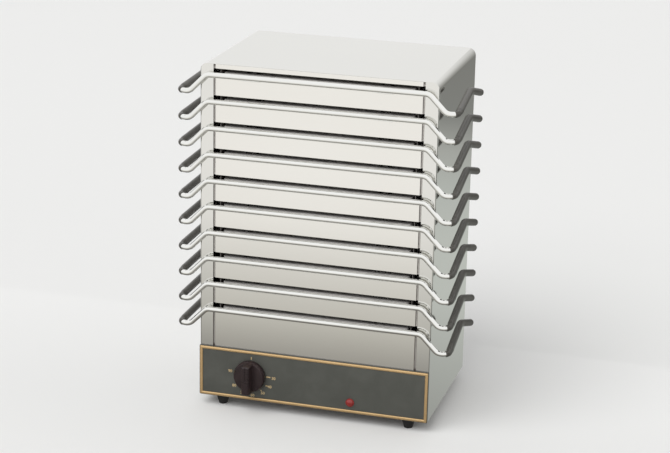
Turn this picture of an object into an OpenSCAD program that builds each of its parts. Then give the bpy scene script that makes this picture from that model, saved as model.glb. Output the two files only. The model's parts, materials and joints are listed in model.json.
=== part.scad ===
// Table plate warmer: a heated steel case with ten aluminium plates that slide out on wire handles.
// The plates drive the case: it is built round them, from the rack out to the bent cover.

/* [Plates] */
// Number of warming plates
plate_count = 10; // [4:1:10]
// Distance from one plate to the next
plate_pitch = 37; // [35:0.5:48]
// Width of a plate
plate_w = 264; // [230:1:300]
// Depth of a plate
plate_d = 198; // [180:1:240]
// Thickness of a plate
plate_t = 5; // [4:0.5:8]
// Radius of a plate's corners
plate_corner_r = 5; // [2:0.5:10]
// Free height over a plate in its slot
slot_over = 5; // [2:0.5:6]
// Free height under a plate's tongues in its slot
slot_under = 0.8; // [0.5:0.1:2]
// Free slot width beside each edge of a plate
slot_side = 11; // [8:0.5:18]
// How far a plate's front edge lies behind the posts' front
plate_set_back = 0.5; // [0:0.5:3]

/* [Handles] */
// Diameter of the handle wire
wire_d = 7.5; // [5:0.5:9]
// Gap between the wire's front run and the posts
wire_gap = 4.5; // [3.5:0.5:8]
// How far inside the case's side the wire starts to bend down
bend_inside = 12; // [6:1:20]
// How far the low corner lies under the front run
handle_drop = 24.5; // [16:0.5:28]
// How far the low corner stands out from the case's side
handle_reach = 27; // [24:1:42]
// Centre line radius of the two bends of the sloping stretch
slope_bend_r = 12; // [8:1:16]
// Centre line radius of the low corner
corner_bend_r = 8; // [7:0.5:10]
// Length of the arm, from the low corner back to the bend of its tip
arm_d = 104; // [80:1:130]
// How far the arm leans in towards the case
arm_lean = 7; // [4:1:14]
// How far the arm rises from its low corner
arm_rise = 8; // [0:1:10]
// Depth of the flared tip
tip_d = 28; // [22:1:36]
// How far the tip flares out
tip_flare = 8; // [6:1:16]
// Centre line radius of the bend of the tip
tip_bend_r = 24; // [16:1:30]
// Outer diameter of the grip sleeve
grip_d = 10; // [9.5:0.5:13]
// Length of the taper at the grip's front end
grip_taper = 6; // [3:1:10]
// Length of solid grip in front of the wire's end
grip_cap = 4; // [2:0.5:8]
// Width of each tongue that carries the plate
tongue_w = 26; // [20:1:34]
// Thickness of a tongue
tongue_t = 2; // [1.5:0.5:2.5]
// How far a tongue reaches under the plate
tongue_reach = 24; // [18:1:40]
// Distance of a tongue's middle from the middle of the plate
tongue_x = 92; // [60:1:100]
// Diameter of a tongue's peened stud
stud_d = 5; // [4:0.5:6]
// Diameter of a stud's peened head
stud_head_d = 8; // [7:0.5:9]
// Height of a stud's peened head
stud_head_h = 1.5; // [1:0.5:2]

/* [Case] */
// Thickness of the case sheets
sheet_t = 1; // [0.8:0.1:1.2]
// Outer radius of the cover's bent top edges
top_bend_r = 11; // [5:0.5:12]
// Outer radius of the posts' front edges
post_bend_r = 2.5; // [1:0.5:3]
// Width of each front post
post_w = 19; // [16:1:26]
// Thickness of the hemmed post
post_t = 2; // [1.5:0.1:3]
// Width of the groove between a post and the front panel
groove_w = 3; // [1:0.5:4]
// Width of the cover's inward flanges
flange_w = 13; // [11:1:16]
// Space from the top plate to the top of the case
head_room = 12; // [8:0.5:20]
// Space from the control panel's top to the lowest plate
heater_room = 54; // [48:0.5:90]
// Space from the plates' rear edges to the case's rear
rear_room = 21.5; // [16:0.5:40]
// Gap between a plate's edge and the rack's wall
rack_gap = 4; // [3:0.5:6]
// How far a ledge reaches under a plate
ledge_grip = 9; // [6:0.5:12]
// Height of the stop at a ledge's rear end
stop_h = 5; // [3:0.5:8]
// Height of the base pan's turned-up edges
pan_lip = 20; // [14:1:26]
// Height of the deck over the control panel's top edge
deck_lift = 3; // [2:0.5:10]

/* [Control panel] */
// Height of the control panel
panel_h = 74; // [68:1:100]
// Thickness of the control panel
panel_t = 2.5; // [1.5:0.5:4]
// Width of the gold trim
trim_w = 4.2; // [2:0.2:5]
// Thickness of the gold trim
trim_t = 1.4; // [0.5:0.1:2]
// Margin of the panel outside the trim
trim_margin = 0.7; // [0.5:0.1:2]
// Distance of the knob's axis from the case's left side
knob_from_side = 75; // [60:1:90]
// Diameter of the knob
knob_d = 45; // [38:1:48]
// Height of the knob's round skirt
skirt_h = 9; // [8:0.5:12]
// Height of the whole knob
knob_h = 24; // [20:0.5:28]
// Width of the knob's grip bar at its foot
bar_w = 14; // [11:0.5:16]
// Diameter of the spindle
spindle_d = 6; // [5:0.5:7]
// Distance of the lamp from the case's right side
lamp_from_side = 110; // [60:1:120]
// Height of the lamp over the case's lower edge
lamp_z = 16; // [14:1:20]
// Diameter of the lamp's body
lamp_d = 9; // [7:0.5:10]

/* [Feet and inlet] */
// Height of the feet under the case
foot_h = 15.5; // [10:0.5:20]
// Diameter of a foot at its top
foot_top_d = 17; // [14:0.5:22]
// Diameter of a foot at its bottom
foot_low_d = 12; // [11:0.5:14]
// Distance of a foot's middle from the case's side
foot_in_x = 30; // [26:1:50]
// Distance of a foot's middle from the case's front or rear
foot_in_y = 13; // [12:1:40]
// Bore of the cable gland
gland_bore_d = 7.5; // [6:0.5:8.5]
// Thread diameter of the cable gland
gland_thread_d = 12; // [11:0.5:14]
// Length of the gland behind the back panel
gland_out = 11; // [9:0.5:16]
// Distance of the gland from the case's right side
gland_from_side = 50; // [36:1:70]
// Height of the gland over the case's lower edge
gland_z = 38; // [34:1:44]

/* [Heating] */
// Diameter of the tubular heating element
element_d = 8; // [6:0.5:9]
// Height of the element's tube over the deck
element_lift = 22; // [18:1:26]
// Distance of the element's outer legs from the plates' side edges
element_in_x = 27; // [20:1:40]
// Distance of the element's front loops from the posts' front
element_front = 35; // [28:1:50]
// Distance of the element's rear run from the plates' rear edges
element_in_rear = 8.5; // [6:0.5:20]
// Centre line radius of the element's loops
element_bend_r = 18; // [14:1:22]
// Diameter of the sensing bulb
bulb_d = 6; // [4:0.5:7]
// Length of the sensing bulb
bulb_len = 84; // [78:1:95]

/* [Hidden] */
$fn = 64;
eps = 0.5;          // overshoot of cuts
fit = 0.2;          // gap between sheets that slip past each other
run = 0.05;         // radial running gap
ledge_gap = 0.25;   // gap between a plate and its ledges
stop_gap = 0.8;     // gap between a pushed-in plate and its stops
knob_gap = 0.6;     // gap between knob and control panel
screw_d = 3.5;      // shank of the case screws
screw_hole_d = screw_d + 2 * run;
screw_head_d = 7;
screw_head_h = 2.2;
screw_slot_w = 1;
screw_slot_h = 0.7;
screw_len = 7;
nut_h = 3.2;
nut_af = 7;
weld_stud_d = 4;    // studs behind the control panel
weld_stud_len = sheet_t + nut_h + 1;

// Overall sizes of the case
case_w = plate_w + 2 * (slot_side + groove_w + post_w);
case_d = plate_set_back + plate_d + rear_room;
case_h = panel_h + heater_room + (plate_count - 1) * plate_pitch + plate_t + head_room;
half_w = case_w / 2;
inner_half = half_w - sheet_t;
window_half = half_w - post_w;
field_half = window_half - groove_w;

// The row frame stands under the middle of the whole object
front_reach = panel_t + knob_gap + knob_h;
rear_reach = sheet_t + gland_out;
case_front = (front_reach - case_d - rear_reach) / 2;

// Levels and places inside the case
deck_z = panel_h + deck_lift;
pan_top = 2 * sheet_t;
lip_below = 12;     // from the panel's top edge down to the base pan's front lip
pan_front_lip = panel_h - lip_below;
pan_y0 = post_t + fit;
pan_y1 = case_d - sheet_t - fit;
rack_x = plate_w / 2 + rack_gap;
rack_out = rack_x + sheet_t;
rack_flange = 13;   // feet and heads of the racks
rack_wing_gap = 6;  // between a rack's front wing and the cover's side
lance_rim = 4;      // rim left round each ledge's window in the rack
notch_over = 1;     // how much a rack's wing is notched over and under each slot
deck_half = rack_out + rack_flange;
rack_y0 = post_t + sheet_t;
stop_y = plate_set_back + plate_d + stop_gap;
rack_y1 = stop_y + 3 * sheet_t;
ledge_w = rack_gap + ledge_grip;
flange_mid = inner_half - flange_w / 2;
stile_gap = 4;      // between the front panel's hidden edges and the cover's sides
slot_behind = 4;    // how far the slots run on behind the posts
front_below = 8;    // how far the front panel runs down behind the control panel

// Control pieces
knob_x = knob_from_side - half_w;
knob_z = panel_h / 2;
lamp_x = half_w - lamp_from_side;
panel_face = -panel_t;
thermo_w = 42;
thermo_h = 34;
thermo_d = 34;
thermo_y1 = sheet_t + thermo_d;
thermo_screw_x = 14;
thermo_screw_d = 3;
thermo_screw_in = 7;
thermo_hole_d = thermo_screw_d + 2 * run;
thermo_corner_r = 3;
neck_d = 6;         // neck of the thermostat that the capillary comes out of
neck_h = 3;
neck_from_axis = 10;
neck_in = 20;
blade_t = 0.8;
blade_w = 6;
blade_len = 9;
blade_x = 8;
spindle_in = 13;
spindle_out = 16;
spindle_flat_from = 4;
spindle_hole_d = spindle_d + 2;
lamp_rear = 26;
lamp_blade_x = 3;
lamp_hole_d = lamp_d + fit;
gland_x = half_w - gland_from_side;
gland_nut_h = 4;
gland_nut_w = 5;
weld_stud_in = 35;
weld_stud_low = 12;
weld_stud_down = 22;
weld_stud_x = half_w - weld_stud_in;
weld_stud_high = panel_h - weld_stud_down;

// Heating pieces
element_r = element_d / 2;
element_z = deck_z + element_lift;
element_x = plate_w / 2 - element_in_x;
element_leg = element_x / 3;
element_rear = plate_set_back + plate_d - element_in_rear;
element_loop = 40;  // from the rear run to the middle loop
element_mid = element_rear - element_loop;
terminal_x = 20;
sheath_below = 14;
sheath_low = deck_z - sheath_below;
pin_len = 8;
pin_low = sheath_low - pin_len;
pin_d = 4;
bush_d = 12;
bush_rim_d = 16;
bush_rim_h = 4;
bush_nut_af = 17;
bush_nut_h = 4;
bush_below = bush_nut_h + 4;
bracket_in = 35;    // from the element's front loops to the front bracket
bracket_t = 1.5;
bracket_foot = 12;
bracket_over = 2;
bracket_gap = 0.5;  // from the rear bracket to the bends of the middle loop
bracket_y = [element_front + bracket_in, element_mid - element_bend_r - bracket_gap - bracket_t];
bulb_x = -(element_x + element_leg) / 2;
bulb_lift = 11;
bulb_z = deck_z + bulb_lift;
bulb_y0 = (bracket_y[0] + bracket_y[1] - bulb_len) / 2;  // midway in its two brackets
capillary_d = 2;
block_from_side = 70;
block_from_rear = 70;
block_x = half_w - block_from_side;
block_y = case_d - block_from_rear;
block_w = 48;
block_d = 20;
block_h = 18;
pole_pitch = 12;
pole_z = pan_top + block_h / 2;
well_d = 5;
well_h = 5;
lead_d = 2.4;

// The handle's shape, right half, from the front run to the tip
wire_r = wire_d / 2;
wire_lift = wire_r - tongue_t / 2; // the front run is sunk by half a tongue's thickness
grip_r = grip_d / 2;
run_y = -wire_gap - wire_r;
low_run = corner_bend_r + slope_bend_r / 2 + 1; // level stretch between the slope and the low corner
low_corner = [half_w + handle_reach, run_y, -handle_drop];
slope_out = low_corner - [low_run, 0, 0];
slope_in = [half_w - bend_inside, run_y, 0];
arm_end = low_corner + [-arm_lean, arm_d, arm_rise];
tip = arm_end + [tip_flare, tip_d, -arm_rise];
tip_dir = unit(tip - arm_end);
arm_dir = unit(arm_end - low_corner);
grip_from = low_corner + arm_dir * (bend_reach(slope_out, low_corner, arm_end, corner_bend_r) + 1);
right_half = [slope_in, slope_out, low_corner, arm_end, tip - tip_dir * grip_cap];
wire_bends = [tip_bend_r, corner_bend_r, slope_bend_r, slope_bend_r];

// Vector helpers
function unit(v) = v / norm(v);
function flip(p) = [-p[0], p[1], p[2]];
function backwards(list) = [for (k = [len(list) - 1:-1:0]) list[k]];
function side_of(d) = unit(cross(d, abs(d[2]) < 0.9 ? [0, 0, 1] : [1, 0, 0]));
function turn(a, b, c) = acos(unit(b - a) * unit(c - b));
function bend_reach(a, b, c, r) = r * tan(turn(a, b, c) / 2);
function columns(x, y, z, o) = [for (k = [0:2]) [x[k], y[k], z[k], o[k]]];
function same(value, count) = [for (k = [1:count]) value];

// Places of the plates, counted from the top, and of the fasteners
function plate_top(i) = case_h - head_room - (i - 1) * plate_pitch;
function plate_low(i) = plate_top(i) - plate_t;
function slot_top(i) = plate_top(i) + slot_over;
function slot_low(i) = plate_low(i) - tongue_t - slot_under;
function label(name, i) = str(name, i < 10 ? "_0" : "_", i);
feet_at = [for (x = [-1, 1], y = [foot_in_y, case_d - foot_in_y]) [x * (half_w - foot_in_x), y]];
case_screws_at = [for (x = [-1, 1], y = [case_d * 0.3, case_d * 0.7]) [x * flange_mid, y]];
weld_studs_at = [for (x = [-1, 1], z = [weld_stud_low, weld_stud_high]) [x * weld_stud_x, z]];
thermo_screws_at = [for (x = [-1, 1]) [knob_x + x * thermo_screw_x, knob_z]];
back_top_z = case_h - sheet_t - flange_w / 2;
back_screw_in = 30;
back_screw_step = (case_h - 2 * back_screw_in) / 3;
back_screws_at = concat(
    [for (x = [-1, 1], k = [0:3]) [x * flange_mid, back_screw_in + k * back_screw_step]],
    [for (x = [-1, 1]) [x * inner_half / 2, back_top_z]]);

// Everything below is drawn from the case's lower front edge and moved here to the row frame
module place() translate([0, case_front, foot_h]) children();

// A flat outline in X and Z, made solid from y0 back to y1
module along_y(y0, y1) translate([0, y1, 0]) rotate([90, 0, 0]) linear_extrude(y1 - y0) children();

// A turned piece whose axis points forward, with its foot on y
module facing_front(x, y, z) translate([x, y, z]) rotate([90, 0, 0]) children();

// A round bar or hole along Y, at a place given in X and Z
module bar_y(at, y0, y1, d) facing_front(at[0], y1, at[1]) cylinder(h = y1 - y0, d = d);

// A round bar or hole along Z, at a place given in X and Y
module bar_z(at, z0, z1, d) translate([at[0], at[1], z0]) cylinder(h = z1 - z0, d = d);

// A box from its lowest to its highest corner
module block(a, b) translate(a) cube(b - a);

// The case's outline from the front, with rounded top corners
module front_outline(w, h, r) {
    translate([-w / 2, 0]) square([w, h - r]);
    translate([r - w / 2, 0]) square([w - 2 * r, h]);
    for (x = [-1, 1]) translate([x * (w / 2 - r), h - r]) circle(r);
}

// A rectangle from its middle with four round corners
module rounded(w, d, r) {
    square([w - 2 * r, d], center = true);
    square([w, d - 2 * r], center = true);
    for (x = [-1, 1], y = [-1, 1]) translate([x * (w / 2 - r), y * (d / 2 - r)]) circle(r);
}

module rod_between(a, b, r0, r1) {
    d = unit(b - a);
    multmatrix(columns(side_of(d), cross(d, side_of(d)), d, a))
        cylinder(h = norm(b - a), r1 = r0, r2 = r1);
}

// A round bar along points, with a bend radius at each inner point.
// The bends are a hair fuller than the straights, which run a little way into them.
module bent_rod(points, bends, r) {
    last = len(points) - 1;
    hair = 0.02;
    lap = 0.25;
    reach = [for (k = [0:last])
        k == 0 || k == last ? 0 : bend_reach(points[k - 1], points[k], points[k + 1], bends[k - 1])];
    for (k = [1:last]) {
        d = unit(points[k] - points[k - 1]);
        from = points[k - 1] + d * (k == 1 ? 0 : reach[k - 1] - lap);
        to = points[k] - d * (k == last ? 0 : reach[k] - lap);
        rod_between(from, to, r - hair, r - hair);
    }
    for (k = [1:last - 1]) {
        d = unit(points[k] - points[k - 1]);
        axis = unit(cross(d, points[k + 1] - points[k]));
        out = cross(d, axis);
        middle = points[k] - d * reach[k] - out * bends[k - 1];
        multmatrix(columns(out, d, axis, middle))
            rotate_extrude(angle = turn(points[k - 1], points[k], points[k + 1]))
                translate([bends[k - 1], 0]) circle(r);
    }
}

// A slotted pan head screw along +Z, head down, with its head's seat at the origin
module pan_screw(length, shank_d) {
    head_r = screw_head_d / 2;
    difference() {
        rotate_extrude() polygon([[0, -screw_head_h], [head_r * 0.7, -screw_head_h],
                                  [head_r, -screw_head_h / 2], [head_r, 0], [shank_d / 2, 0],
                                  [shank_d / 2, length], [0, length]]);
        block([-screw_head_d, -screw_slot_w / 2, -screw_head_h - eps],
              [screw_head_d, screw_slot_w / 2, screw_slot_h - screw_head_h]);
    }
}

module hex_nut(across_flats, height, bore_d) {
    difference() {
        cylinder(h = height, d = across_flats / cos(30), $fn = 6);
        translate([0, 0, -eps]) cylinder(h = height + 2 * eps, d = bore_d);
    }
}

// Case

// Bent sheet over top and sides, with hemmed posts in front and flanges turned in behind and below
module cover() color("gainsboro") place() difference() {
    intersection() {
        along_y(0, case_d) front_outline(case_w, case_h, top_bend_r);
        linear_extrude(case_h) translate([0, case_d]) rotate(180)
            front_outline(case_w, case_d, post_bend_r);
    }
    along_y(post_t, case_d - sheet_t) translate([0, sheet_t])
        front_outline(2 * inner_half, case_h - 2 * sheet_t, top_bend_r - sheet_t);
    block([-window_half, -eps, -eps], [window_half, post_t + eps, case_h - sheet_t]);
    block([-inner_half + flange_w, case_d - sheet_t - eps, -eps],
          [inner_half - flange_w, case_d + eps, case_h - sheet_t - flange_w]);
    block([-inner_half + flange_w, post_t, -eps], [inner_half - flange_w, case_d, sheet_t + eps]);
    for (p = case_screws_at) bar_z(p, -eps, sheet_t + eps, screw_hole_d);
    for (p = back_screws_at) bar_y(p, case_d - sheet_t - eps, case_d + eps, screw_hole_d);
}

// The space inside the cover's top and sides, which trims the sheets that reach up into it
module cover_inside() along_y(-eps, case_d)
    front_outline(2 * (inner_half - fit), case_h - sheet_t, top_bend_r - sheet_t);

// Polished sheet: a flush field between the posts, stepped back behind them, with a slot for each plate
module front_panel() color("white") place() {
    stile_half = inner_half - stile_gap;
    slot_half = window_half + slot_behind;
    plan = [[field_half, 0], [field_half, post_t], [stile_half, post_t], [stile_half, rack_y0],
            [field_half - sheet_t, rack_y0], [field_half - sheet_t, sheet_t]];
    intersection() {
        difference() {
            translate([0, 0, panel_h - front_below]) linear_extrude(case_h)
                polygon(concat(plan, [for (p = backwards(plan)) [-p[0], p[1]]]));
            for (i = [1:plate_count])
                block([-slot_half, -eps, slot_low(i)], [slot_half, rack_y0 + eps, slot_top(i)]);
        }
        cover_inside();
    }
}

// Flat sheet screwed on behind, with cooling vents for the base and the hole of the gland
module back_panel() color("silver") place() difference() {
    margin = 2;
    along_y(case_d, case_d + sheet_t) translate([0, margin])
        front_outline(case_w - 2 * margin, case_h - 2 * margin, top_bend_r - margin);
    for (p = back_screws_at) bar_y(p, case_d - eps, case_d + sheet_t + eps, screw_hole_d);
    bar_y([gland_x, gland_z], case_d - eps, case_d + sheet_t + eps, gland_thread_d + 2 * run);
    vent_w = 4;
    vent_h = 24;
    vent_pitch = 10;
    vent_from = 100;
    vent_over_lip = 12;
    for (k = [0:9]) translate([k * vent_pitch - vent_from, 0, pan_lip + vent_over_lip]) {
        block([-vent_w / 2, case_d - eps, 0], [vent_w / 2, case_d + sheet_t + eps, vent_h]);
        for (z = [0, vent_h]) bar_y([0, z], case_d - eps, case_d + sheet_t + eps, vent_w);
    }
}

// Pan that closes the base, with turned-up edges and a tall front lip behind the control panel
module base_pan() color("silver") place() {
    side = inner_half - fit;
    tongue = window_half - eps;
    behind = 2 * sheet_t;
    difference() {
        union() {
            block([-side, pan_y0, sheet_t], [side, pan_y1, pan_top]);
            block([-tongue, 0, sheet_t], [tongue, pan_y0, pan_top]);
            block([-tongue, 0, sheet_t], [tongue, sheet_t, pan_front_lip]);
            block([-side, pan_y1 - sheet_t, sheet_t], [side, pan_y1, pan_lip]);
            for (x = [-side, side - sheet_t])
                block([x, pan_y0, sheet_t], [x + sheet_t, pan_y1, pan_lip]);
        }
        for (p = concat(case_screws_at, feet_at)) bar_z(p, 0, pan_top + eps, screw_hole_d);
        for (p = weld_studs_at) bar_y(p, -eps, behind, weld_stud_d + 2 * run);
        for (p = thermo_screws_at) bar_y(p, -eps, behind, thermo_hole_d);
        bar_y([knob_x, knob_z], -eps, behind, spindle_hole_d);
        bar_y([lamp_x, lamp_z], -eps, behind, lamp_hole_d);
    }
}

// Floor of the hot chamber, on two legs that stand in the base pan
module deck() color("silver") place() difference() {
    y0 = rack_y0 + fit;
    y1 = pan_y1 - sheet_t - fit;
    union() {
        block([-deck_half, y0, deck_z - sheet_t], [deck_half, y1, deck_z]);
        for (x = [-deck_half, deck_half - sheet_t])
            block([x, y0, pan_top], [x + sheet_t, y1, deck_z]);
    }
    for (x = [-terminal_x, terminal_x])
        bar_z([x, element_rear], deck_z - sheet_t - eps, deck_z + eps, bush_d + 2 * run);
    bar_z([bulb_x, element_front], deck_z - sheet_t - eps, deck_z + eps, 2 * capillary_d);
}

// Wall with turned-out flanges, its front wing notched at the slots, and for each plate
// a ledge lanced out of the wall and a stop behind the plate
module rack() {
    intersection() {
        difference() {
            union() {
                block([rack_x, rack_y0, deck_z], [rack_out, rack_y1, case_h - sheet_t]);
                block([rack_x, rack_y0, deck_z], [inner_half - rack_wing_gap, rack_y0 + sheet_t, case_h]);
                block([rack_x, rack_y0, deck_z], [deck_half, rack_y1, deck_z + sheet_t]);
                block([rack_x, rack_y0, case_h - 2 * sheet_t], [deck_half, rack_y1, case_h - sheet_t]);
            }
            for (i = [1:plate_count]) {
                z = plate_low(i) - ledge_gap - sheet_t;
                block([rack_x - eps, rack_y0 + 2 * lance_rim, z - ledge_w],
                      [rack_out + eps, stop_y - lance_rim, z]);
                block([rack_out, rack_y0 - eps, slot_low(i) - notch_over],
                      [inner_half, rack_y0 + sheet_t + eps, slot_top(i) + notch_over]);
            }
        }
        cover_inside();
    }
    for (i = [1:plate_count]) {
        z = plate_low(i) - ledge_gap;
        block([rack_x - ledge_w, rack_y0 + lance_rim, z - sheet_t], [rack_out, stop_y + sheet_t, z]);
        block([rack_x - ledge_w, stop_y, z - sheet_t], [rack_out, stop_y + sheet_t, z + stop_h]);
    }
}

module right_rack() color("silver") place() rack();
module left_rack() color("silver") place() mirror([1, 0, 0]) rack();

// Control panel

// Dark plate with four studs welded to its back
module control_panel() color("dimgray") place() {
    corner_r = 1.5;
    difference() {
        along_y(panel_face, 0) translate([0, panel_h / 2]) rounded(case_w, panel_h, corner_r);
        bar_y([knob_x, knob_z], panel_face - eps, eps, spindle_hole_d);
        bar_y([lamp_x, lamp_z], panel_face - eps, eps, lamp_hole_d);
        for (p = thermo_screws_at) bar_y(p, panel_face - eps, eps, thermo_hole_d);
    }
    for (p = weld_studs_at) bar_y(p, 0, weld_stud_len, weld_stud_d);
}

// Flat gold frame along the panel's edges
module panel_trim() color("goldenrod") place() {
    out_w = case_w - 2 * trim_margin;
    out_h = panel_h - 2 * trim_margin;
    corner_r = 1;
    along_y(panel_face - trim_t, panel_face) translate([0, panel_h / 2]) difference() {
        rounded(out_w, out_h, corner_r);
        square([out_w - 2 * trim_w, out_h - 2 * trim_w], center = true);
    }
}

module panel_nuts() color("silver") place() for (p = weld_studs_at)
    facing_front(p[0], sheet_t + nut_h, p[1]) hex_nut(nut_af, nut_h, weld_stud_d + 2 * run);

// Round skirt with a raised bar to grip and a pointer groove
module knob() color("black") place() facing_front(knob_x, panel_face - knob_gap, knob_z) difference() {
    knob_r = knob_d / 2;
    edge = 1.5;
    hub_r = spindle_d / 2 + 3.5;
    shell = 3;
    hollow_h = 3.2;
    pointer_w = 1.2;
    union() {
        rotate_extrude() polygon([[0, 0], [knob_r, 0], [knob_r, skirt_h - 2 * edge],
                                  [knob_r - edge, skirt_h], [0, skirt_h]]);
        intersection() {
            translate([0, knob_r, 0]) rotate([90, 0, 0]) linear_extrude(knob_d) polygon([
                [-bar_w / 2, 1], [-bar_w / 2 + edge, knob_h - edge], [-bar_w / 2 + 2 * edge, knob_h],
                [bar_w / 2 - 2 * edge, knob_h], [bar_w / 2 - edge, knob_h - edge], [bar_w / 2, 1]]);
            rotate_extrude() polygon([[0, 1], [knob_r - edge / 2, 1], [knob_r - edge, knob_h - edge],
                                      [knob_r - 2 * edge, knob_h], [0, knob_h]]);
        }
    }
    rotate_extrude() polygon([[hub_r, -eps], [knob_r - shell, -eps],
                              [knob_r - shell, hollow_h], [hub_r, hollow_h]]);
    bar_z([0, 0], -eps, eps, spindle_d + 2 * run);
    spindle_shape(spindle_out + 1, run);
    block([-pointer_w / 2, 0, knob_h - pointer_w / 2], [pointer_w / 2, knob_r, knob_h + eps]);
}

// The spindle's front end, with its flat on top, widened by a gap
module spindle_shape(length, gap) difference() {
    cylinder(h = length, r = spindle_d / 2 + gap);
    block([-spindle_d, spindle_d / 4 + gap, spindle_flat_from + gap], [spindle_d, spindle_d, length + eps]);
}

// Shaft of the thermostat, which turns with the knob
module spindle() color("silver") place() facing_front(knob_x, panel_face - knob_gap, knob_z) {
    spindle_shape(spindle_out, 0);
    translate([0, 0, panel_face - knob_gap - sheet_t - spindle_in])
        cylinder(h = panel_t + knob_gap + sheet_t + spindle_in, d = spindle_d);
}

module thermostat() color("ivory") place() {
    difference() {
        union() {
            translate([knob_x, 0, knob_z]) along_y(sheet_t, thermo_y1)
                rounded(thermo_w, thermo_h, thermo_corner_r);
            bar_z(capillary_from(), knob_z, knob_z + thermo_h / 2 + neck_h, neck_d);
        }
        bar_y([knob_x, knob_z], 0, sheet_t + spindle_in + 1, spindle_d + 2 * run);
        for (p = thermo_screws_at) bar_y(p, 0, sheet_t + thermo_screw_in + 1, thermo_hole_d);
    }
    for (x = [-1, 1]) blade([knob_x + x * blade_x, thermo_y1, knob_z]);
}

// A flat terminal that points backwards
module blade(at) translate(at)
    block([-blade_t / 2, -eps, -blade_w / 2], [blade_t / 2, blade_len, blade_w / 2]);

module thermostat_screws() color("silver") place() for (p = thermo_screws_at)
    translate([p[0], panel_face, p[1]]) rotate([-90, 0, 0])
        pan_screw(panel_t + sheet_t + thermo_screw_in, thermo_screw_d);

function capillary_from() = [knob_x + neck_from_axis, sheet_t + neck_in, knob_z + thermo_h / 2 + neck_h];

// Bulb in the hot chamber on its thin tube from the thermostat
module sensing_bulb() color("peru") place() {
    bend_r = 5;
    below = deck_z - sheet_t - 1.6 * bend_r;
    start = capillary_from();
    end = [bulb_x, bulb_y0, bulb_z];
    bent_rod([start, [start[0], start[1], below], [bulb_x, element_front, below],
              [bulb_x, element_front, bulb_z], end], same(bend_r, 3), capillary_d / 2);
    rod_between(end, end + [0, bulb_len, 0], bulb_d / 2, bulb_d / 2);
}

// Low red dome with a rim on the panel's face
module lamp_lens() color("red") place() facing_front(lamp_x, panel_face, lamp_z) {
    rim_h = 1.2;
    rim_w = 1.5;
    wall_h = rim_h + 1;
    dome_r = lamp_d / 2 + 0.3;
    cap_r = 1.4 * dome_r;
    cylinder(h = rim_h, r = lamp_d / 2 + rim_w);
    cylinder(h = wall_h, r = dome_r);
    intersection() {
        translate([0, 0, wall_h - sqrt(cap_r * cap_r - dome_r * dome_r)]) sphere(cap_r);
        translate([0, 0, rim_h]) cylinder(h = cap_r, r = dome_r);
    }
}

// Lamp holder with its clip behind the base pan's lip
module lamp_body() color("ivory") place() {
    clip_w = 2;
    bar_y([lamp_x, lamp_z], panel_face, lamp_rear, lamp_d);
    bar_y([lamp_x, lamp_z], sheet_t, sheet_t + clip_w, lamp_d + 2 * clip_w);
    for (x = [-1, 1]) blade([lamp_x + x * lamp_blade_x, lamp_rear, lamp_z]);
}

// Heating

// One bent tube: four legs under the plates, with both ends bushed through the deck
module heating_element() color("dimgray") place() {
    left = [[-terminal_x, element_rear, sheath_low], [-terminal_x, element_rear, element_z],
            [-element_x, element_rear, element_z], [-element_x, element_front, element_z],
            [-element_leg, element_front, element_z], [-element_leg, element_mid, element_z]];
    bends = [element_bend_r * 0.7, element_bend_r, element_bend_r, element_bend_r, element_bend_r];
    bent_rod(concat(left, [for (p = backwards(left)) flip(p)]), concat(bends, backwards(bends)), element_r);
    for (x = [-terminal_x, terminal_x]) {
        bar_z([x, element_rear], deck_z, deck_z + bush_rim_h, bush_rim_d);
        bar_z([x, element_rear], deck_z - bush_below, deck_z + eps, bush_d);
        bar_z([x, element_rear], pin_low, sheath_low + eps, pin_d);
    }
}

module element_nuts() color("silver") place() for (x = [-terminal_x, terminal_x])
    translate([x, element_rear, deck_z - sheet_t - bush_nut_h])
        hex_nut(bush_nut_af, bush_nut_h, bush_d + 2 * run);

// Two upright strips on the deck, with a round notch under each leg and a hole for the bulb
module element_brackets() color("silver") place() for (y = bracket_y) {
    ear = element_x + 1.5 * element_d;
    y0 = y - eps;
    y1 = y + bracket_t + eps;
    notch = element_r + run;
    difference() {
        block([-ear, y, deck_z], [ear, y + bracket_t, element_z + bracket_over]);
        for (x = [-element_x, -element_leg, element_leg, element_x]) {
            bar_y([x, element_z], y0, y1, 2 * notch);
            block([x - notch, y0, element_z], [x + notch, y1, element_z + bracket_over + eps]);
        }
        bar_y([bulb_x, bulb_z], y0, y1, bulb_d + 2 * run);
    }
    block([-ear, y, deck_z], [ear, y + bracket_foot, deck_z + bracket_t]);
}

// Wiring

function pole(k) = [block_x + (k - 2.5) * pole_pitch, block_y, pole_z];

// Block with four poles, each with a screw well on top and a wire hole in front
module terminal_block() color("ivory") place() difference() {
    top = pan_top + block_h;
    union() {
        block([block_x - block_w / 2, block_y, pan_top],
              [block_x + block_w / 2, block_y + block_d, pole_z]);
        for (k = [1:4]) translate([pole(k)[0], 0, pole_z])
            along_y(block_y, block_y + block_d) rounded(pole_pitch - 2, block_h, 2);
    }
    for (k = [1:4]) bar_z([pole(k)[0], block_y + block_d / 2], top - well_h, top + eps, well_d);
}

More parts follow.
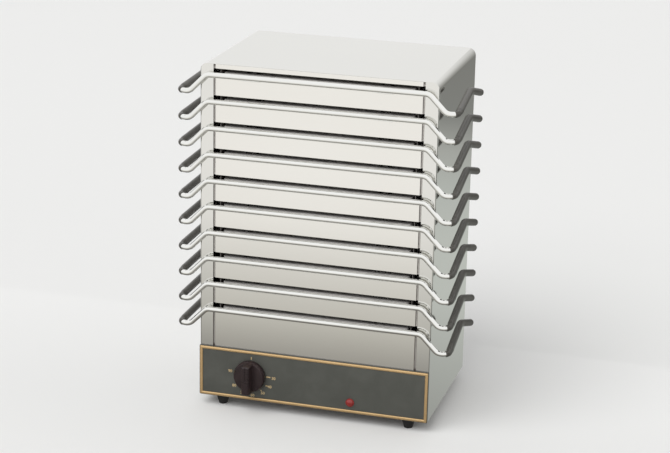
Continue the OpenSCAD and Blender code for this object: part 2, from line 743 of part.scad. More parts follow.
// Five insulated leads in the base
module lead_wires() color("firebrick") place() {
    bend_r = 6;
    lead_r = lead_d / 2;
    shelf = pan_top + 2 * block_h - lead_d;
    hot = [knob_x, thermo_y1 + blade_len, knob_z];
    element_pin = [terminal_x, element_rear, pin_low];
    lamp = [lamp_x, lamp_rear + blade_len, lamp_z];
    feed = hot - [blade_x, 0, 0];
    heat = hot + [blade_x, 0, 0];
    front_aisle = block_y - 3 * block_d;
    rear_aisle = block_y - 1.5 * block_d;
    bent_rod([feed, [feed[0], front_aisle, knob_z], [feed[0], front_aisle, pole_z],
              [pole(1)[0], front_aisle, pole_z], pole(1)], same(bend_r, 3), lead_r);
    bent_rod([heat, [heat[0], rear_aisle, knob_z], [-terminal_x, rear_aisle, knob_z],
              [-terminal_x, element_rear, knob_z], flip(element_pin)], same(bend_r, 3), lead_r);
    bent_rod([element_pin, [terminal_x, element_rear, shelf], [terminal_x, rear_aisle, shelf],
              [pole(2)[0], rear_aisle, shelf], [pole(2)[0], rear_aisle, pole_z], pole(2)],
             same(bend_r, 4), lead_r);
    for (k = [3, 4]) {
        from = lamp + [(2 * k - 7) * lamp_blade_x, 0, 0];
        across = from[1] + (5 - k) * bend_r + lead_d;
        bent_rod([from, [from[0], across, lamp_z], [from[0], across, pole_z],
                  [pole(k)[0], across, pole_z], pole(k)], same(bend_r / 3, 3), lead_r);
    }
}

// Threaded bush with a six-sided collar and a tapered mouth, open for the cable
module cable_gland() color("black") place()
translate([gland_x, case_d + sheet_t, gland_z]) rotate([-90, 0, 0]) difference() {
    collar_h = 4;
    collar_w = 4;
    mouth_w = 2;
    inside = sheet_t + gland_nut_h + 4;
    union() {
        cylinder(h = collar_h, d = gland_thread_d + 2 * collar_w, $fn = 6);
        bar_z([0, 0], -inside, collar_h, gland_thread_d);
        translate([0, 0, collar_h])
            cylinder(h = gland_out - collar_h, d1 = gland_thread_d + 2 * mouth_w, d2 = gland_thread_d);
    }
    bar_z([0, 0], -inside - eps, gland_out + eps, gland_bore_d);
}

module gland_nut() color("black") place() facing_front(gland_x, case_d, gland_z)
    hex_nut(gland_thread_d + gland_nut_w, gland_nut_h, gland_thread_d + 2 * run);

// Feet and screws

// Tapered rubber foot with a well for its screw
module feet() color("black") place() for (p = feet_at) translate([p[0], p[1], 0]) {
    top_r = foot_top_d / 2;
    low_r = foot_low_d / 2;
    bore_r = screw_hole_d / 2;
    well_r = screw_head_d / 2 + eps;
    seat = foot_h / 2;
    shoulder = foot_h / 2 - 1;
    rotate_extrude() polygon([[bore_r, sheet_t], [top_r, sheet_t], [top_r, -shoulder],
                              [low_r, eps - foot_h], [low_r - eps, -foot_h], [well_r, -foot_h],
                              [well_r, -seat], [bore_r, -seat]]);
}

module foot_screws() color("silver") place() for (p = feet_at)
    translate([p[0], p[1], -foot_h / 2]) pan_screw(foot_h / 2 + screw_len, screw_d);

module case_screws() color("silver") place() for (p = case_screws_at)
    translate([p[0], p[1], 0]) pan_screw(screw_len, screw_d);

module back_screws() color("silver") place() for (p = back_screws_at)
    facing_front(p[0], case_d + sheet_t, p[1]) pan_screw(screw_len, screw_d);

// Plates and handles, counted from the top

// Where a plate's studs go through it
function studs_at() = [for (x = [-1, 1], s = [-1, 1])
    [x * tongue_x + s * tongue_w / 4, plate_set_back + tongue_reach / 2]];

// A stud with its peened head flush with the plate's top
module stud(gap) {
    neck = plate_t - stud_head_h;
    cylinder(h = neck + gap, d = stud_d + 2 * gap);
    translate([0, 0, neck]) cylinder(h = stud_head_h, d1 = stud_d + 2 * gap, d2 = stud_head_d + 2 * gap);
}

module plate(i) color("lightgray") place() translate([0, 0, plate_low(i)]) difference() {
    linear_extrude(plate_t) translate([0, plate_set_back + plate_d / 2])
        rounded(plate_w, plate_d, plate_corner_r);
    for (p = studs_at()) {
        bar_z(p, -eps, run, stud_d + 2 * run);
        translate([p[0], p[1], 0]) stud(run);
        bar_z(p, plate_t - run, plate_t + eps, stud_head_d + 2 * run);
    }
}

// Bent wire with two tongues welded behind its front run, studded through the plate
module handle(i) color("whitesmoke") place() translate([0, 0, plate_low(i)]) {
    wire = concat([for (p = backwards(right_half)) flip(p)], right_half);
    translate([0, 0, wire_lift]) bent_rod(wire, concat(wire_bends, backwards(wire_bends)), wire_r);
    for (x = [-1, 1]) translate([x * tongue_x, 0, 0])
        block([-tongue_w / 2, run_y, -tongue_t], [tongue_w / 2, plate_set_back + tongue_reach, 0]);
    for (p = studs_at()) {
        bar_z(p, -eps, eps, stud_d);
        translate([p[0], p[1], 0]) stud(0);
    }
}

// Dark sleeves on the two arms, tapered in front and round at the tip
module grips(i) color("darkslategray") place() translate([0, 0, plate_low(i) + wire_lift]) {
    grip();
    mirror([1, 0, 0]) grip();
}

module grip() {
    rim_t = 0.6;
    body_from = grip_from + arm_dir * grip_taper;
    bore_r = wire_r + run;
    difference() {
        union() {
            rod_between(grip_from, body_from, wire_r + rim_t, grip_r);
            bent_rod([body_from - arm_dir * eps, arm_end, tip], [tip_bend_r], grip_r);
            translate(tip) sphere(grip_r);
        }
        bent_rod([grip_from - arm_dir * eps, arm_end, tip - tip_dir * (grip_cap - run)],
                 [tip_bend_r], bore_r);
    }
}

cover();
front_panel();
back_panel();
base_pan();
deck();
left_rack();
right_rack();
control_panel();
panel_trim();
panel_nuts();
knob();
spindle();
thermostat();
thermostat_screws();
sensing_bulb();
lamp_lens();
lamp_body();
heating_element();
element_nuts();
element_brackets();
terminal_block();
lead_wires();
cable_gland();
gland_nut();
feet();
foot_screws();
case_screws();
back_screws();
for (i = [1:plate_count]) {
    plate(i);
    handle(i);
    grips(i);
}
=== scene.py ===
# %% [markdown]
# # A table plate warmer
# The steel case, its plates, wire handles and controls arrive as finished solids in one shared frame.
# This lesson dresses them: it sets the camera, the studio, the finishes and the small printed and
# moulded details, and leaves every solid where it is.

# %% Load the solids
import json
import math

import bmesh
import bpy
from mathutils import Matrix, Vector


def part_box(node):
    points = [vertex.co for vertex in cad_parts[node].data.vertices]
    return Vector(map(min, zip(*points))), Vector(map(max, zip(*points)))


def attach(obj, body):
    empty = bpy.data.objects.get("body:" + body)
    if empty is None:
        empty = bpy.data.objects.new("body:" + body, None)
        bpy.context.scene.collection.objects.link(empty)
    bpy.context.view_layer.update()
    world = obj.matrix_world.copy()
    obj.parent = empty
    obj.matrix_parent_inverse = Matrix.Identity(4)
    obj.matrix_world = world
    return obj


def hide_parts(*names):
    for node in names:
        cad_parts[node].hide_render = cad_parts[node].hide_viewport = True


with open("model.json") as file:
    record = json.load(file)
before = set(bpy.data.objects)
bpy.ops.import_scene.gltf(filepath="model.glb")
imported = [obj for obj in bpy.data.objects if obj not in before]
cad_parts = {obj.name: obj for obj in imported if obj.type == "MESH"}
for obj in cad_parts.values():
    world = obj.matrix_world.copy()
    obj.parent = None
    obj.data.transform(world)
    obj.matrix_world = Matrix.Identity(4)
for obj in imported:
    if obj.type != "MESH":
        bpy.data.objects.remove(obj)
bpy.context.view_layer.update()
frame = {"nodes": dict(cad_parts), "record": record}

MM = 0.001
nodes = frame["nodes"]

# %% [markdown]
# ## The camera
# The picture was taken with a long lens from the right and from above, and the camera leans a little.
# The view is written as a turn, a tilt and a roll about one aimed point, which is easier to read and to
# adjust than a matrix. The lens follows from its length in pixels.

# %% Camera
PICTURE_W = 670
SENSOR_MM = 36.0
VIEW_TURN = math.radians(15.74)
VIEW_TILT = math.radians(17.75)
VIEW_ROLL = math.radians(1.23)
VIEW_DISTANCE = 2.667
LENS_PIXELS = 1980
AIM_RIGHT = 0.0275
AIM_FRONT = -0.10245
AIM_OVER_PANEL = 0.2675
panel_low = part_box("control_panel")[0]
VIEW_AIM = Vector((AIM_RIGHT, AIM_FRONT, panel_low.z + AIM_OVER_PANEL))


def aim_camera():
    away = Vector((math.sin(VIEW_TURN) * math.cos(VIEW_TILT),
                   -math.cos(VIEW_TURN) * math.cos(VIEW_TILT),
                   math.sin(VIEW_TILT)))
    level = Vector((math.cos(VIEW_TURN), math.sin(VIEW_TURN), 0.0))
    upright = away.cross(level)
    side = level * math.cos(VIEW_ROLL) + upright * math.sin(VIEW_ROLL)
    top = upright * math.cos(VIEW_ROLL) - level * math.sin(VIEW_ROLL)
    place = VIEW_AIM + away * VIEW_DISTANCE
    data = bpy.data.cameras.new("view")
    data.sensor_fit = "HORIZONTAL"
    data.sensor_width = SENSOR_MM
    data.lens = LENS_PIXELS / PICTURE_W * SENSOR_MM
    camera = bpy.data.objects.new("view", data)
    bpy.context.scene.collection.objects.link(camera)
    turn = Matrix((side, top, away)).transposed().to_4x4()
    camera.matrix_world = Matrix.Translation(place) @ turn
    bpy.context.scene.camera = camera
    return camera


camera = aim_camera()
bpy.context.scene.view_settings.view_transform = "Standard"
print("lens", round(camera.data.lens, 1), "mm")

# %% [markdown]
# ## Node helpers
# Every finish is a small network of shader nodes. Five short helpers add a node, fill in its values, join
# two sockets, start a shared group and place one with its own values, so that each finish below reads as
# a recipe.

# %% Node helpers


def add(tree, kind, **values):
    node = tree.nodes.new(kind)
    for key, value in values.items():
        setattr(node, key, value)
    return node


def fill(node, **values):
    for key, value in values.items():
        node.inputs[key.replace("_", " ")].default_value = value
    return node


def join(tree, source, target):
    tree.links.new(source, target)


def new_group(name, inputs, outputs):
    group = bpy.data.node_groups.new(name, "ShaderNodeTree")
    for label, kind, value in inputs:
        socket = group.interface.new_socket(name=label, in_out="INPUT", socket_type=kind)
        socket.default_value = value
    for label, kind in outputs:
        group.interface.new_socket(name=label, in_out="OUTPUT", socket_type=kind)
    return group, group.nodes.new("NodeGroupInput"), group.nodes.new("NodeGroupOutput")


def place_group(tree, group, **values):
    node = tree.nodes.new("ShaderNodeGroup")
    node.node_tree = group
    return fill(node, **values)


FLOAT = "NodeSocketFloat"
VECTOR = "NodeSocketVector"

# %% [markdown]
# ## Shared surface effects
# Four effects come back on many pieces, and each is one group with its own inputs. *Sheet grain* is the
# fine lengthwise texture that rolling and polishing leave on metal. *Handling marks* are broad, soft
# smudges. *Soft edges* finds the sharp edges of a solid with a bevelled normal, so that light catches
# them as it does on a real, slightly rounded edge. The fourth, *crevice darkening*, paints shade into
# the colour and has its own note below.

# %% Sheet grain


def make_sheet_grain():
    group, given, out = new_group(
        "sheet_grain",
        [("Scale", FLOAT, 900.0), ("Stretch", VECTOR, (0.02, 1.0, 1.0))],
        [("Streaks", FLOAT), ("Height", FLOAT)])
    place = add(group, "ShaderNodeTexCoord")
    along = add(group, "ShaderNodeVectorMath", operation="MULTIPLY")
    fine = fill(add(group, "ShaderNodeTexNoise"), Detail=4.0, Roughness=0.6)
    contrast = fill(add(group, "ShaderNodeMapRange"), From_Min=0.3, From_Max=0.7)
    join(group, place.outputs["Object"], along.inputs[0])
    join(group, given.outputs["Stretch"], along.inputs[1])
    join(group, along.outputs["Vector"], fine.inputs["Vector"])
    join(group, given.outputs["Scale"], fine.inputs["Scale"])
    join(group, fine.outputs["Fac"], contrast.inputs["Value"])
    join(group, contrast.outputs["Result"], out.inputs["Streaks"])
    join(group, fine.outputs["Fac"], out.inputs["Height"])
    return group


sheet_grain = make_sheet_grain()

# %% Handling marks
MARKS_START = 0.9


def make_handling_marks():
    group, given, out = new_group(
        "handling_marks",
        [("Scale", FLOAT, 14.0), ("Cover", FLOAT, 0.5)],
        [("Mask", FLOAT), ("Drift", FLOAT)])
    place = add(group, "ShaderNodeTexCoord")
    broad = fill(add(group, "ShaderNodeTexNoise"), Detail=3.0, Roughness=0.55, Distortion=0.6)
    slow = fill(add(group, "ShaderNodeTexNoise"), Scale=4.0, Detail=1.0)
    low = add(group, "ShaderNodeMath", operation="SUBTRACT")
    low.inputs[0].default_value = MARKS_START
    mask = fill(add(group, "ShaderNodeMapRange"), From_Max=0.8)
    join(group, place.outputs["Object"], broad.inputs["Vector"])
    join(group, place.outputs["Object"], slow.inputs["Vector"])
    join(group, given.outputs["Scale"], broad.inputs["Scale"])
    join(group, given.outputs["Cover"], low.inputs[1])
    join(group, broad.outputs["Fac"], mask.inputs["Value"])
    join(group, low.outputs["Value"], mask.inputs["From Min"])
    join(group, mask.outputs["Result"], out.inputs["Mask"])
    join(group, slow.outputs["Fac"], out.inputs["Drift"])
    return group


handling_marks = make_handling_marks()

# %% Soft edges


def make_soft_edges():
    group, given, out = new_group(
        "soft_edges",
        [("Radius", FLOAT, 0.0006)],
        [("Normal", VECTOR), ("Edge", FLOAT)])
    rounded = add(group, "ShaderNodeBevel", samples=6)
    shape = add(group, "ShaderNodeNewGeometry")
    likeness = add(group, "ShaderNodeVectorMath", operation="DOT_PRODUCT")
    mask = fill(add(group, "ShaderNodeMapRange"), From_Min=0.995, From_Max=0.8)
    join(group, given.outputs["Radius"], rounded.inputs["Radius"])
    join(group, rounded.outputs["Normal"], likeness.inputs[0])
    join(group, shape.outputs["Normal"], likeness.inputs[1])
    join(group, likeness.outputs["Value"], mask.inputs["Value"])
    join(group, rounded.outputs["Normal"], out.inputs["Normal"])
    join(group, mask.outputs["Result"], out.inputs["Edge"])
    return group


soft_edges = make_soft_edges()

# %% [markdown]
# Narrow grooves, slot ends and the lines where two pieces meet take less light than an open sheet.
# *Crevice darkening* paints that shade into the colour: it measures how open a point is to its
# surroundings. Above *Clean* the metal stays bare, and below *Full* a dark painted tone hides it. On
# the gilt trim the same dark tone is tarnish in its hollows.

# %% Crevice darkening


def make_crevice_darkening():
    group, given, out = new_group(
        "crevice_darkening",
        [("Reach", FLOAT, 0.005), ("Clean", FLOAT, 0.8), ("Full", FLOAT, 0.4)],
        [("Mask", FLOAT)])
    openness = add(group, "ShaderNodeAmbientOcclusion", samples=16)
    mask = add(group, "ShaderNodeMapRange")
    join(group, given.outputs["Reach"], openness.inputs["Distance"])
    join(group, openness.outputs["AO"], mask.inputs["Value"])
    join(group, given.outputs["Clean"], mask.inputs["From Min"])
    join(group, given.outputs["Full"], mask.inputs["From Max"])
    join(group, mask.outputs["Result"], out.inputs["Mask"])
    return group


crevice_darkening = make_crevice_darkening()
print("groups:", [g.name for g in bpy.data.node_groups])

# %% [markdown]
# ## Finishes
# Two recipes cover the whole object. A *metal* finish mixes two close tones by the handling marks, and
# lets the grain and the marks set its roughness. A *moulded* finish is a coloured plastic, paint or
# rubber with a fine bump. What is the same all over a surface, such as the coat, is set on the shader
# itself. In a metal's crevices a painted shade darkens the tone and hides the metallic shine; on the
# gilt trim the same dark tone stands for tarnish.

# %% Finish recipes
GRAIN_SHARE = 0.5
EDGE_SHARE = 0.5
COAT_ROUGHNESS = 0.15
finishes = {}


def start_finish(name):
    material = bpy.data.materials.new(name)
    material.use_nodes = True
    tree = material.node_tree
    shader = tree.nodes["Principled BSDF"]
    finishes[name] = material
    return tree, shader


def tone_mix(tree, factor, first, second):
    mix = add(tree, "ShaderNodeMix", data_type="RGBA")
    colours = [s for s in mix.inputs if s.type == "RGBA"]
    colours[1].default_value = (*second, 1.0)
    if isinstance(first, tuple):
        colours[0].default_value = (*first, 1.0)
    else:
        join(tree, first, colours[0])
    join(tree, factor, mix.inputs["Factor"])
    return [s for s in mix.outputs if s.type == "RGBA"][0]


def surface_bump(tree, height, edges, shader, strength, depth):
    bump = fill(add(tree, "ShaderNodeBump"), Strength=strength, Distance=depth)
    join(tree, height, bump.inputs["Height"])
    join(tree, edges.outputs["Normal"], bump.inputs["Normal"])
    join(tree, bump.outputs["Normal"], shader.inputs["Normal"])


def metal_finish(name, light, dark, rough, stretch, grain=900.0, edge=0.0006, strength=0.05,
                 depth=0.00005, metallic=1.0, shade_and_tarnish=None, reach=0.005, clean=0.8):
    tree, shader = start_finish(name)
    fill(shader, Metallic=metallic)
    grains = place_group(tree, sheet_grain, Scale=grain, Stretch=stretch)
    marks = place_group(tree, handling_marks)
    edges = place_group(tree, soft_edges, Radius=edge)
    colour = tone_mix(tree, marks.outputs["Drift"], light, dark)
    # Painted shade in crevices, and tarnish on the trim: darkens the colour and takes away the metallic
    # shine.
    if shade_and_tarnish:
        crevice = place_group(tree, crevice_darkening, Reach=reach, Clean=clean)
        colour = tone_mix(tree, crevice.outputs["Mask"], colour, shade_and_tarnish)
        bare = fill(add(tree, "ShaderNodeMapRange"), To_Min=metallic, To_Max=0.0)
        join(tree, crevice.outputs["Mask"], bare.inputs["Value"])
        join(tree, bare.outputs["Result"], shader.inputs["Metallic"])
    join(tree, colour, shader.inputs["Base Color"])
    blend = add(tree, "ShaderNodeMath", operation="MULTIPLY_ADD")
    blend.inputs[1].default_value = GRAIN_SHARE
    span = fill(add(tree, "ShaderNodeMapRange"), From_Max=1 + GRAIN_SHARE,
                To_Min=rough[0], To_Max=rough[1])
    join(tree, grains.outputs["Streaks"], blend.inputs[0])
    join(tree, marks.outputs["Mask"], blend.inputs[2])
    join(tree, blend.outputs["Value"], span.inputs["Value"])
    join(tree, span.outputs["Result"], shader.inputs["Roughness"])
    surface_bump(tree, grains.outputs["Height"], edges, shader, strength, depth)


def moulded_finish(name, light, dark, rough, grain=1500.0, edge=0.0005, strength=0.15,
                   depth=0.0001, coat=0.0):
    tree, shader = start_finish(name)
    fill(shader, Coat_Weight=coat, Coat_Roughness=COAT_ROUGHNESS)
    grains = place_group(tree, sheet_grain, Scale=grain, Stretch=(1.0, 1.0, 1.0))
    marks = place_group(tree, handling_marks, Scale=30.0)
    edges = place_group(tree, soft_edges, Radius=edge)
    worn = add(tree, "ShaderNodeMath", operation="MULTIPLY_ADD")
    worn.inputs[1].default_value = EDGE_SHARE
    join(tree, edges.outputs["Edge"], worn.inputs[0])
    join(tree, marks.outputs["Mask"], worn.inputs[2])
    join(tree, tone_mix(tree, worn.outputs["Value"], dark, light), shader.inputs["Base Color"])
    span = fill(add(tree, "ShaderNodeMapRange"), To_Min=rough[0], To_Max=rough[1])
    join(tree, marks.outputs["Mask"], span.inputs["Value"])
    join(tree, span.outputs["Result"], shader.inputs["Roughness"])
    surface_bump(tree, grains.outputs["Height"], edges, shader, strength, depth)


# %% [markdown]
# The metals come first. The cover and the slotted front are polished stainless steel, the cover more
# than the front, and their grain runs the way each sheet was rolled. The handles are bright plated wire,
# the plates plain aluminium, and the inner sheets keep their duller mill finish.

# %% Metals
ALONG_X = (0.03, 1.0, 1.0)
ALONG_Z = (1.0, 1.0, 0.03)
ALONG_COVER = (0.03, 1.0, 0.03)
EVEN = (1.0, 1.0, 1.0)
# Painted shade: the dark tone that grooves, slot edges and joins of the polished sheets take.
PAINTED_SHADE = (0.13, 0.10, 0.085)
SLOT_SHADE = (0.09, 0.075, 0.068)
TARNISH = (0.09, 0.055, 0.035)
metal_finish("cover_steel", (0.83, 0.825, 0.80), (0.79, 0.785, 0.76), (0.035, 0.08), ALONG_COVER,
             strength=0.03, shade_and_tarnish=PAINTED_SHADE)
metal_finish("front_steel", (0.90, 0.89, 0.86), (0.86, 0.84, 0.80), (0.06, 0.13), ALONG_X,
             shade_and_tarnish=PAINTED_SHADE)
# The inner sheets take a deep painted shade where the slots leave them in the dark.
metal_finish("sheet_steel", (0.62, 0.62, 0.61), (0.52, 0.52, 0.51), (0.30, 0.45), ALONG_Z,
             shade_and_tarnish=SLOT_SHADE, reach=0.03, clean=0.95)
metal_finish("fastener_steel", (0.68, 0.68, 0.66), (0.56, 0.55, 0.52), (0.22, 0.36), EVEN)
metal_finish("spindle_steel", (0.62, 0.62, 0.61), (0.55, 0.55, 0.54), (0.2, 0.3), EVEN)
metal_finish("wire_chrome", (0.90, 0.90, 0.88), (0.84, 0.84, 0.81), (0.05, 0.10), EVEN,
             edge=0.0003)
metal_finish("plate_aluminium", (0.66, 0.64, 0.62), (0.58, 0.56, 0.54), (0.35, 0.5), ALONG_X,
             metallic=0.35)
metal_finish("trim_gold", (0.74, 0.51, 0.26), (0.65, 0.44, 0.215), (0.14, 0.22), EVEN,
             grain=300.0, edge=0.0003, strength=0.02, metallic=0.55, shade_and_tarnish=TARNISH, reach=0.003)
metal_finish("bulb_copper", (0.72, 0.42, 0.25), (0.55, 0.30, 0.18), (0.25, 0.4), EVEN)
metal_finish("element_steel", (0.16, 0.155, 0.15), (0.10, 0.09, 0.085), (0.4, 0.6), EVEN)
print("metals:", len(finishes))

# %% [markdown]
# Paint, plastics and rubber follow. The control panel is a dark olive grey paint, the knob a deep brown
# black moulding with a little gloss, and the grips a dull grey brown sleeve.

# %% Paint, plastics and rubber
moulded_finish("panel_paint", (0.090, 0.092, 0.080), (0.072, 0.074, 0.064), (0.42, 0.55),
               coat=0.1)
moulded_finish("knob_plastic", (0.036, 0.021, 0.022), (0.020, 0.012, 0.013), (0.26, 0.38),
               edge=0.0008)
moulded_finish("grip_plastic", (0.100, 0.094, 0.082), (0.060, 0.056, 0.048), (0.30, 0.44),
               edge=0.0008)
moulded_finish("ivory_plastic", (0.80, 0.75, 0.62), (0.70, 0.65, 0.52), (0.4, 0.5))
moulded_finish("lens_red", (0.38, 0.052, 0.040), (0.26, 0.022, 0.02), (0.12, 0.2), coat=0.4)
moulded_finish("lead_red", (0.45, 0.05, 0.04), (0.36, 0.03, 0.03), (0.45, 0.6))
moulded_finish("gland_plastic", (0.035, 0.035, 0.035), (0.022, 0.022, 0.022), (0.4, 0.55))
moulded_finish("foot_rubber", (0.028, 0.027, 0.026), (0.014, 0.014, 0.014), (0.6, 0.8))
moulded_finish("dial_ink", (0.66, 0.50, 0.27), (0.56, 0.41, 0.21), (0.4, 0.5), strength=0.05)
print("finishes:", len(finishes))

# %% [markdown]
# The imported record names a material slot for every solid. Each solid takes the finish of that name.

# %% Give each solid its finish
for entry in frame["record"]["subparts"]:
    solid = nodes[entry["node"]]
    solid.data.materials.clear()
    solid.data.materials.append(finishes[entry["material_slot"]])

# %% [markdown]
# ## The trim
# A bright gilt bead frames the control panel. The solid is a flat frame, so this piece takes its place
# with the bead's round back: the same half-round outline is set in from the frame's outer edge step by
# step, and each step is one closed loop with small round corners. Joining the loops gives a bead that
# turns its corners cleanly.

# %% Trim bead
TRIM_WIDTH = 4.2 * MM
TRIM_CORNER = 1.0 * MM
TRIM_INNER_CORNER = 0.1 * MM
BEAD_FULLNESS = 0.8
BEAD_STEPS = 10
CORNER_STEPS = 4


def rounded_loop(low, high, inset, radius):
    loop = []
    x0, x1 = low.x + inset, high.x - inset
    z0, z1 = low.z + inset, high.z - inset
    corners = [(x1 - radius, z1 - radius, 0), (x0 + radius, z1 - radius, 90),
               (x0 + radius, z0 + radius, 180), (x1 - radius, z0 + radius, 270)]
    for x, z, start in corners:
        for k in range(CORNER_STEPS + 1):
            turn = math.radians(start + 90 * k / CORNER_STEPS)
            loop.append((x + radius * math.cos(turn), z + radius * math.sin(turn)))
    return loop


def join_loops(shape, loops):
    rows = [[shape.verts.new(point) for point in loop] for loop in loops]
    for near, far in zip(rows, rows[1:] + rows[:1]):
        for k in range(len(near)):
            n = (k + 1) % len(near)
            shape.faces.new((near[k], near[n], far[n], far[k]))
    bmesh.ops.recalc_face_normals(shape, faces=shape.faces)


def new_piece(name, shape, slot, body, finish=None):
    mesh = bpy.data.meshes.new(name)
    shape.to_mesh(mesh)
    shape.free()
    piece = bpy.data.objects.new(name, mesh)
    bpy.context.scene.collection.objects.link(piece)
    mesh.materials.append(finishes[finish or slot])
    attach(piece, body)
    return piece


def make_trim_bead():
    low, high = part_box("panel_trim")
    height = high.y - low.y
    shape = bmesh.new()
    loops = []
    for k in range(BEAD_STEPS + 1):
        turn = math.pi * k / BEAD_STEPS
        inset = TRIM_WIDTH * (1 - math.cos(turn)) / 2
        y = high.y - height * math.sin(turn) ** BEAD_FULLNESS
        loop = rounded_loop(low, high, inset, max(TRIM_CORNER - inset, TRIM_INNER_CORNER))
        loops.append([(x, y, z) for x, z in loop])
    join_loops(shape, loops)
    bead = new_piece("trim_bead", shape, "trim_gold", "case")
    bead.data.shade_smooth()
    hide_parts("panel_trim")
    return bead


trim_bead = make_trim_bead()
print("trim bead:", len(trim_bead.data.polygons), "faces")

# %% [markdown]
# ## The sleeves' front lips
# Each grip is a dark sleeve that was pushed along its arm as far as the low corner of the wire. The solid
# of the sleeve stops just behind the bend, so a thin lip carries it on round most of the bend. The lip is
# a tube: rings of points stand square to the bend's centre line, first along the outside from the front
# edge back to the sleeve, then forward again along the bore. The sizes repeat those of the wire.

# %% Grip lips
WIRE_R = 3.75 * MM
LIP_R = 4.35 * MM
LIP_BORE = 3.8 * MM
LIP_EDGE = 0.3 * MM
LIP_FROM = math.radians(35)
LIP_SHARP = math.radians(50)
LIP_STEPS = 9
RING_STEPS = 28
BEND_R = 8.0 * MM
CORNER_X = 192.0 * MM
ARM_LEAN = 7.0
ARM_DEPTH = 104.0
ARM_RISE = 8.0
LIP_PAST_BEND = 0.95 * MM
TRAYS = 10


def bend_path(corner, out, arm):
    turn = math.acos(out.dot(arm))
    reach = BEND_R * math.tan(turn / 2)
    back = (arm - out * out.dot(arm)).normalized()
    middle = corner - out * reach + back * BEND_R
    path = []
    for k in range(LIP_STEPS + 1):
        a = LIP_FROM + (turn - LIP_FROM) * k / LIP_STEPS
        centre = middle + (out * math.sin(a) - back * math.cos(a)) * BEND_R
        path.append((centre, out * math.cos(a) + back * math.sin(a)))
    path.append((corner + arm * (reach + LIP_PAST_BEND), arm))
    return path, out.cross(back)


def ring(centre, along, upright, radius):
    across = along.cross(upright)
    turns = [2 * math.pi * k / RING_STEPS for k in range(RING_STEPS)]
    return [centre + (across * math.cos(t) + upright * math.sin(t)) * radius for t in turns]


def make_grip_lips(number):
    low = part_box("handle_" + number)[0]
    shape = bmesh.new()
    for hand in (-1, 1):
        corner = Vector((hand * CORNER_X, low.y + WIRE_R, low.z + WIRE_R))
        arm = Vector((hand * -ARM_LEAN, ARM_DEPTH, ARM_RISE)).normalized()
        path, upright = bend_path(corner, Vector((hand, 0, 0)), arm)
        front, along = path[0]
        loops = [ring(front - along * LIP_EDGE, along, upright, LIP_R - LIP_EDGE)]
        loops += [ring(*step, upright, LIP_R) for step in path]
        loops += [ring(*step, upright, LIP_BORE) for step in reversed(path)]
        loops.append(ring(front - along * LIP_EDGE, along, upright, LIP_BORE))
        join_loops(shape, loops)
    lips = new_piece("grip_lips_" + number, shape, "grip_plastic", "tray_" + number)
    lips.data.shade_smooth()
    lips.data.set_sharp_from_angle(angle=LIP_SHARP)
    return lips


grip_lips = [make_grip_lips("%02d" % k) for k in range(1, TRAYS + 1)]
print("grip lips:", len(grip_lips), "pairs of", len(grip_lips[0].data.polygons), "faces")

# %% [markdown]
# ## The dial
# The thermostat's scale is printed on the panel round the knob: a tick at rest, dashes where the scale
# starts, and a row of plain numbers. Each number is made with Blender's own font, turned upright, and
# given a hair of thickness, as screen printing has. All the marks are joined into one piece.

# %% Dial print
INK = 0.03 * MM
FIGURE_HEIGHT = 4.0 * MM
FIGURE_SHARE = 0.7  # height of a figure over the size of its font
FIGURE_SWELL = 0.16 * MM
# Figures as (text, x, z) and bars as (x, z, width, height), in mm from the knob's middle
SCALE_FIGURES = [("30", 34.0, -0.4), ("40", 28.5, -13.6), ("50", 18.4, -24.2), ("60", 3.4, -29.4),
                 ("70", -11.8, -27.4), ("80", -23.6, -18.0), ("90", -29.6, 3.0)]
SCALE_BARS = [(26.2, 0.8, 6.4, 1.5), (24.2, -12.6, 3.6, 1.2), (15.8, -20.4, 2.2, 1.2),
              (1.2, 25.6, 1.2, 4.0)]


def figure_shape(text):
    font = bpy.data.curves.new("figure", "FONT")
    font.body = text
    font.size = FIGURE_HEIGHT / FIGURE_SHARE
    font.align_x = "CENTER"
    font.align_y = "CENTER"
    font.extrude = INK / 2
    font.offset = FIGURE_SWELL
    font.resolution_u = 3
    holder = bpy.data.objects.new("figure", font)
    bpy.context.scene.collection.objects.link(holder)
    mesh = bpy.data.meshes.new_from_object(holder)
    bpy.data.objects.remove(holder)
    bpy.data.curves.remove(font)
    return mesh


def add_bar(shape, width, height, matrix):
    size = Matrix.Diagonal((width, height, INK, 1.0))
    bmesh.ops.create_cube(shape, size=1.0, matrix=matrix @ size)


def make_dial_print():
    knob_low, knob_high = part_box("knob")
    middle = (knob_low + knob_high) / 2
    upright = Matrix.Rotation(math.radians(90), 4, "X")
    face = panel_low.y - INK / 2
    shape = bmesh.new()
    for text, x, z in SCALE_FIGURES:
        mesh = figure_shape(text)
        mesh.transform(Matrix.Translation((middle.x + x * MM, face, middle.z + z * MM)) @ upright)
        shape.from_mesh(mesh)
        bpy.data.meshes.remove(mesh)
    for x, z, width, height in SCALE_BARS:
        place = Matrix.Translation((middle.x + x * MM, face, middle.z + z * MM)) @ upright
        add_bar(shape, width * MM, height * MM, place)
    return new_piece("dial_print", shape, "trim_gold", "case", finish="dial_ink")


dial_print = make_dial_print()
print("dial print:", len(dial_print.data.polygons), "faces")

# %% [markdown]
# ## The studio
# Polished metal shows the room, so the room is part of the look. A pale floor and a white surround give
# the bright top and front. Grey cards, which only reflections see, give the darker right side and the
# soft bands that make wire look like metal. One large soft lamp adds direction.

# %% Floor, surround and lamp
FLOOR_HALF = 30.0
WHITE = (1.0, 1.0, 1.0, 1.0)
SURROUND_LIGHT = 0.55
SURROUND_SEEN = 1.0
KEY_DIRECTION = (0.35, 0.75, -1.0)
KEY_STRENGTH = 1.7
KEY_SPREAD = 50


def flat_card(name, corners):
    mesh = bpy.data.meshes.new(name)
    mesh.from_pydata([Vector(c) for c in corners], [], [tuple(range(len(corners)))])
    card = bpy.data.objects.new(name, mesh)
    bpy.context.scene.collection.objects.link(card)
    return card


